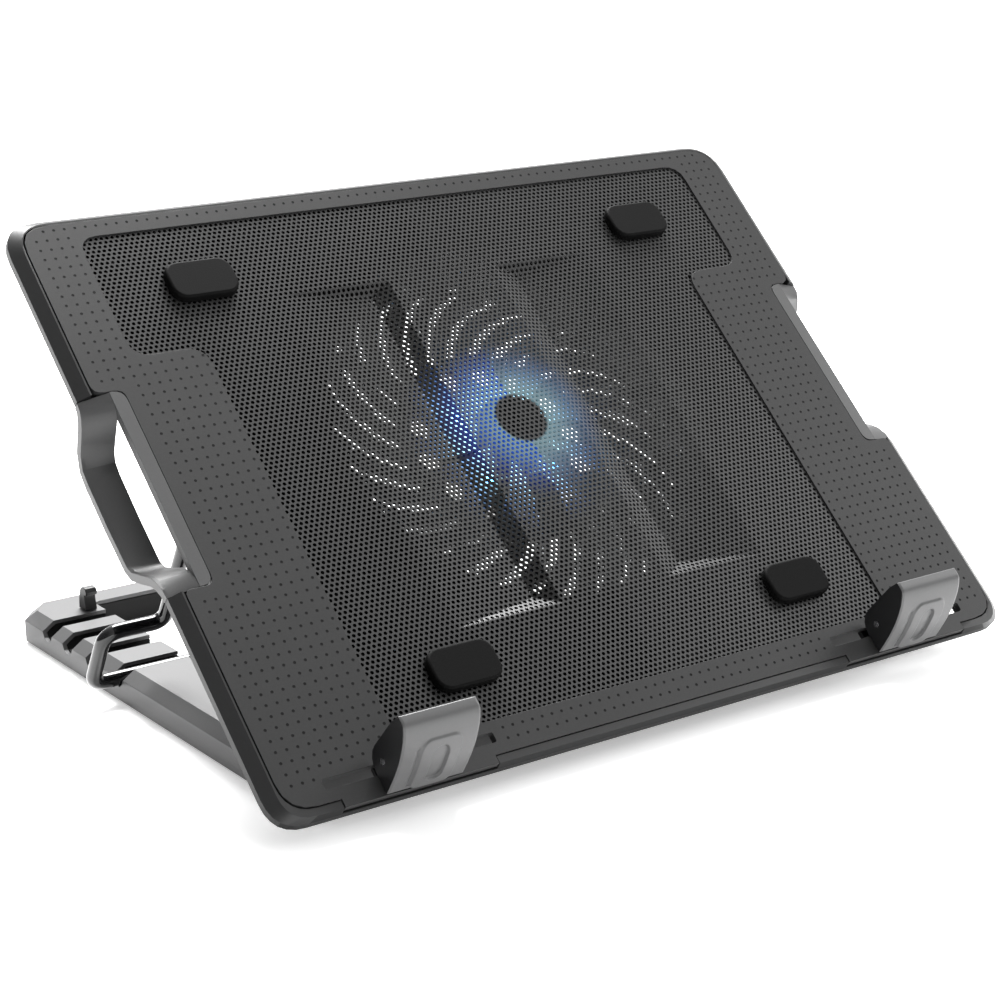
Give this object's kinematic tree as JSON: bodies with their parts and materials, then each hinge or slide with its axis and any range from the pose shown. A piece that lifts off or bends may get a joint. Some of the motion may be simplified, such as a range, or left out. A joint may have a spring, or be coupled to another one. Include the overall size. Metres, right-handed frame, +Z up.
{
  "type": "laptop cooling pad",
  "caption": "Tilting laptop cooling pad: a perforated deck with a lit fan, sliding edge stops and side handles, propped by a wire bail in a notched base.",
  "frame": {"origin": "on the table, under the middle of the whole pad's box", "axes": "+X across to the user's right, +Y to the rear, +Z up; the deck rises to the rear at 42.5 degrees"},
  "size_m": [0.38, 0.291, 0.2017],
  "materials": {
    "grey_plastic": "fine matt, dark warm grey",
    "pale_grey_plastic": "fine matt, mid grey",
    "black_plastic": "satin black",
    "mesh_steel": "satin grey coat on perforated sheet",
    "black_chrome": "bright black plating",
    "pin_steel": "ground pin",
    "rubber": "matt",
    "copper": "enamelled winding wire",
    "led_lens": "clear lens, lit blue",
    "board": "circuit board lacquer"
  },
  "bodies": {
    "base": {"base_cover": "pale_grey_plastic", "base_frame": "black_plastic", "hinge_pin_l": "pin_steel", "hinge_pin_r": "pin_steel", "latch_hook_l": "grey_plastic", "latch_hook_r": "grey_plastic", "foot_front_l": "rubber", "foot_front_r": "rubber", "foot_rear_l": "rubber", "foot_rear_r": "rubber"},
    "deck": {"deck_frame": "grey_plastic", "top_bezel": "grey_plastic", "mesh_panel": "mesh_steel", "pad_fl": "rubber", "pad_fr": "rubber", "pad_rl": "rubber", "pad_rr": "rubber", "handle_l": "grey_plastic", "handle_r": "grey_plastic", "bottom_cover": "black_plastic", "fan_frame": "black_plastic", "motor_stator": "copper", "motor_board": "board", "led_1": "led_lens", "led_2": "led_lens", "led_3": "led_lens", "led_4": "led_lens", "control_board": "board", "power_inlet": "black_plastic", "bail_clip_l": "black_plastic", "bail_clip_r": "black_plastic"},
    "fan": {"fan_rotor": "black_plastic", "fan_axle": "pin_steel"},
    "bail": {"bail": "black_chrome"},
    "stop_slider_l": {"stop_slider_l": "black_plastic"},
    "stop_slider_r": {"stop_slider_r": "black_plastic"},
    "stop_plate_l": {"stop_plate_l": "pale_grey_plastic", "stop_pin_l": "pin_steel"},
    "stop_plate_r": {"stop_plate_r": "pale_grey_plastic", "stop_pin_r": "pin_steel"}
  },
  "joints": [
    {"name": "deck_tilt", "type": "hinge", "parent": "base", "child": "deck", "pos_m": [0, -0.10763, 0.01621], "axis": [1, 0, 0], "range_deg": [0, 15]},
    {"name": "bail_swing", "type": "hinge", "parent": "deck", "child": "bail", "pos_m": [0, -0.01263, 0.10666], "axis": [1, 0, 0], "range_deg": [0, 6]},
    {"name": "fan_spin", "type": "hinge", "parent": "deck", "child": "fan", "pos_m": [0, -0.01377, 0.10222], "axis": [0, -0.6756, 0.7373], "continuous": true},
    {"name": "stop_slide_l", "type": "slide", "parent": "deck", "child": "stop_slider_l", "axis": [1, 0, 0], "range_m": [-0.032, 0.03]},
    {"name": "stop_slide_r", "type": "slide", "parent": "deck", "child": "stop_slider_r", "axis": [1, 0, 0], "range_m": [-0.03, 0.032]},
    {"name": "stop_flip_l", "type": "hinge", "parent": "stop_slider_l", "child": "stop_plate_l", "pos_m": [-0.1263, -0.13092, 0.02431], "axis": [1, 0, 0], "range_deg": [-80, 0]},
    {"name": "stop_flip_r", "type": "hinge", "parent": "stop_slider_r", "child": "stop_plate_r", "pos_m": [0.1263, -0.13092, 0.02431], "axis": [1, 0, 0], "range_deg": [-80, 0]}
  ],
  "couplings": [
    {"joint": "bail_swing", "follows": "deck_tilt", "ratio": 0.4}
  ]
}
